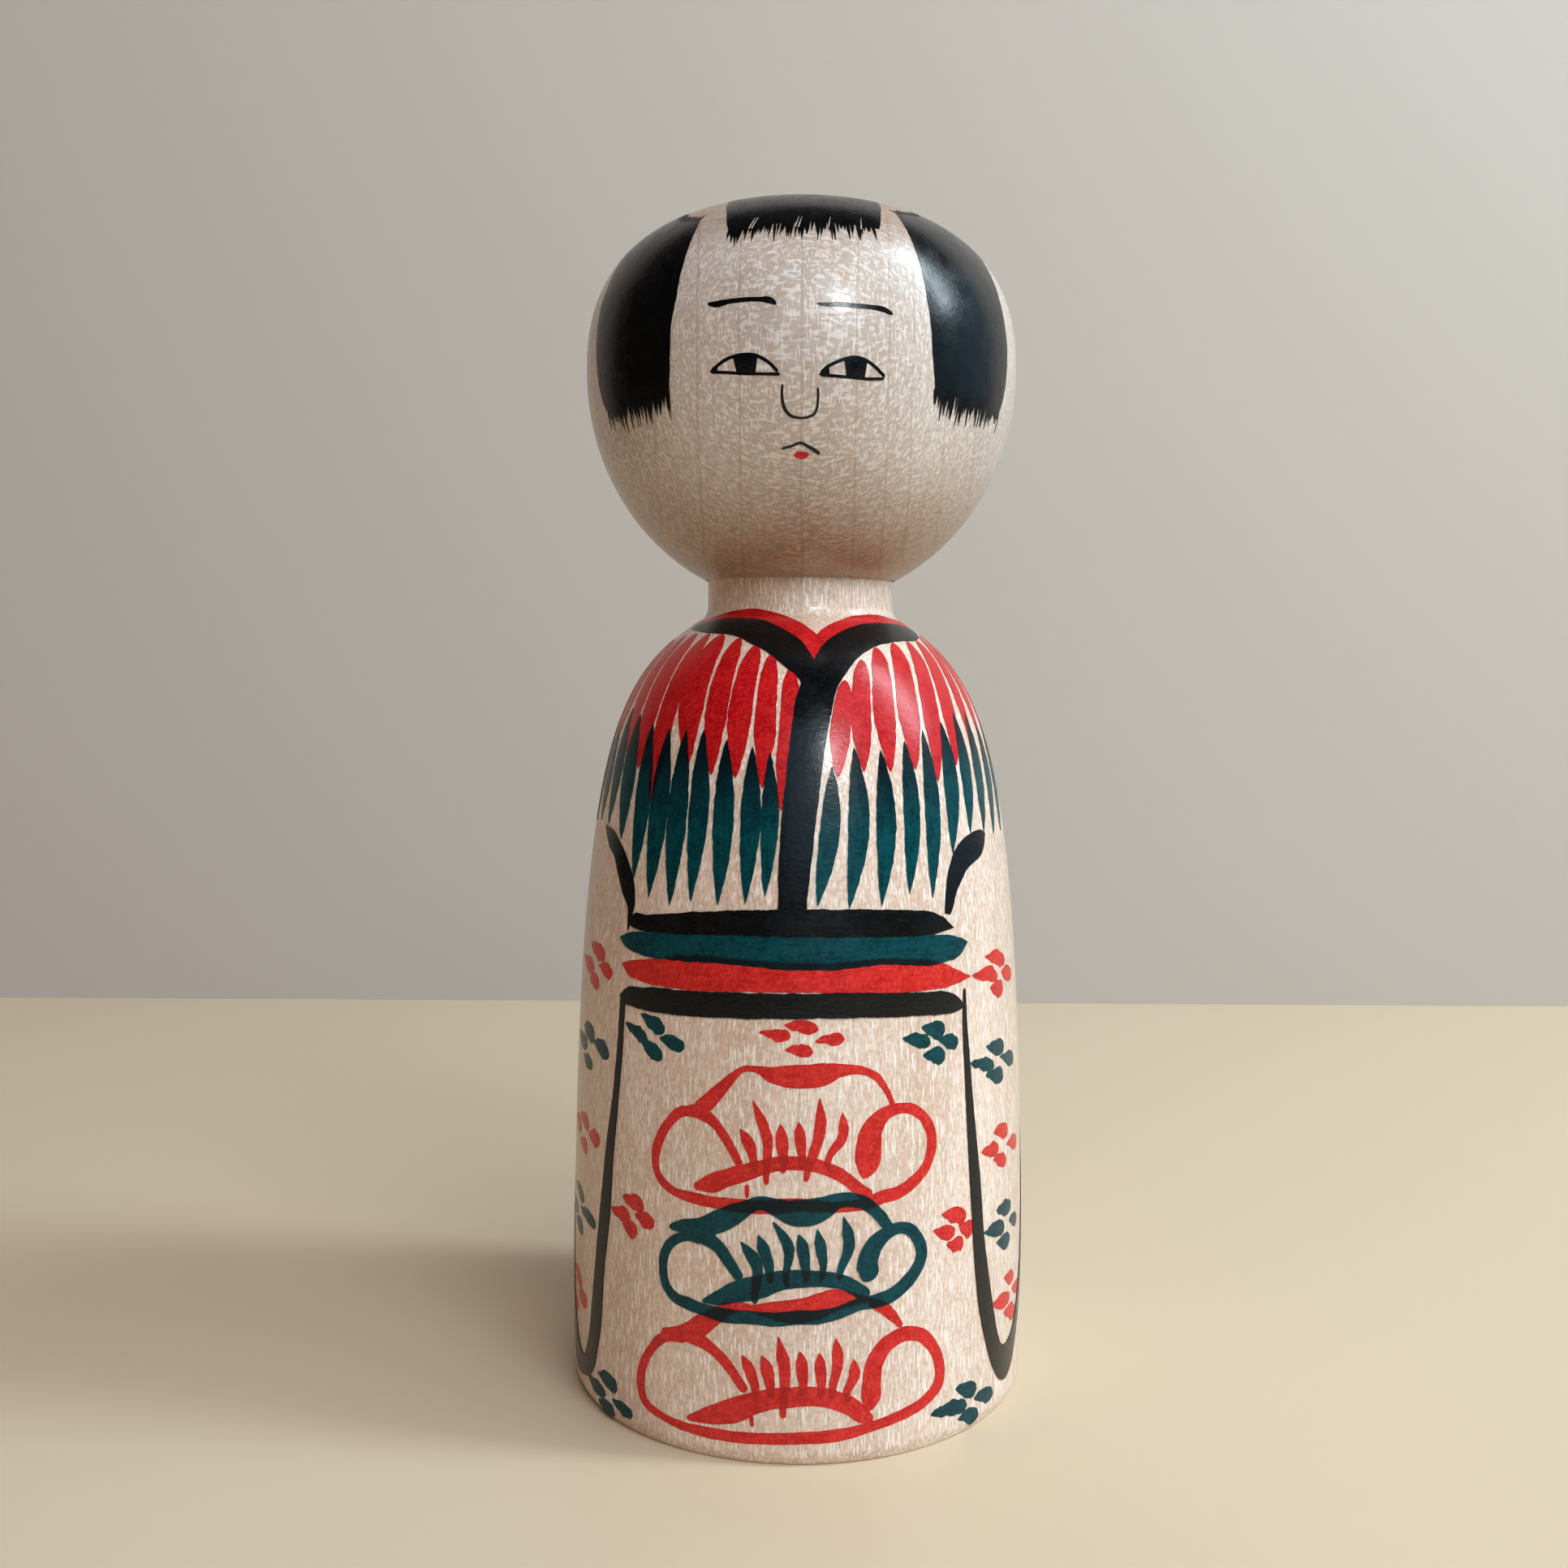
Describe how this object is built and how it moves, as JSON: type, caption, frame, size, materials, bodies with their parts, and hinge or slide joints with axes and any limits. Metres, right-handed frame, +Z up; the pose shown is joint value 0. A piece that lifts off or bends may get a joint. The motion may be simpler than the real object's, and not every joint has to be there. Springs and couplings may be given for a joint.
{
  "type": "kokeshi doll",
  "caption": "Turned and painted wooden doll with a round head that turns on a hidden dowel above a tapering body with a flat base.",
  "frame": {"origin": "centre of the flat base, on the doll's turning axis", "axes": "+Z up along the turning axis, the painted face looks along -Y, +X is to the right of someone facing the doll"},
  "size_m": [0.071, 0.071, 0.18],
  "materials": {
    "waxed_wood": "pale maple-like wood, turned smooth and waxed to a soft gloss",
    "bare_dowel": "unfinished hardwood dowel",
    "black_ink": "black brush ink under wax",
    "red_dye": "red dye brushed on bare wood, under wax",
    "teal_dye": "dark teal dye brushed on bare wood, under wax"
  },
  "bodies": {
    "body": {"body": "waxed_wood"},
    "head": {"head": "waxed_wood", "neck_peg": "bare_dowel"}
  },
  "joints": [
    {"name": "head_turn", "type": "hinge", "parent": "body", "child": "head", "pos_m": [0, 0, 0.12473], "axis": [0, 0, 1], "continuous": true}
  ]
}
